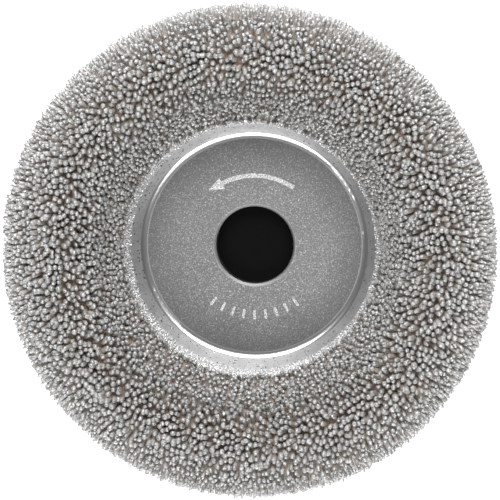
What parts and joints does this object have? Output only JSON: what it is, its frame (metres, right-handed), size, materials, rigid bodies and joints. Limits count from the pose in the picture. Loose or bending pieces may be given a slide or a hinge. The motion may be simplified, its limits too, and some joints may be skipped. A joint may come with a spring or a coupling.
{
  "type": "carving disc",
  "caption": "Carbide-needle rasp wheel: a pressed steel dish with a centre bore in a deep hub recess and a rounded rim covered in short brazed carbide needles.",
  "frame": {"origin": "on the bore's axis, in the plane of the hub's back face, which is the part's lowest plane", "axes": "+Z along the bore's axis, out of the hub recess, towards the working side"},
  "size_m": [0.0635, 0.0634, 0.015],
  "materials": {
    "blasted_steel": "bead-blasted bare steel",
    "braze": "satin nickel braze with small pits",
    "carbide": "granular tungsten carbide wetted with braze"
  },
  "bodies": {
    "root": {"steel_dish": "blasted_steel", "braze_coat": "braze", "lip_fringe_needles": "carbide", "lip_needles": "carbide", "crown_needles": "carbide", "outer_crown_needles": "carbide", "shoulder_needles": "carbide", "front_skirt_needles": "carbide", "wall_needles": "carbide", "back_skirt_needles": "carbide", "back_fringe_needles": "carbide"}
  },
  "joints": []
}
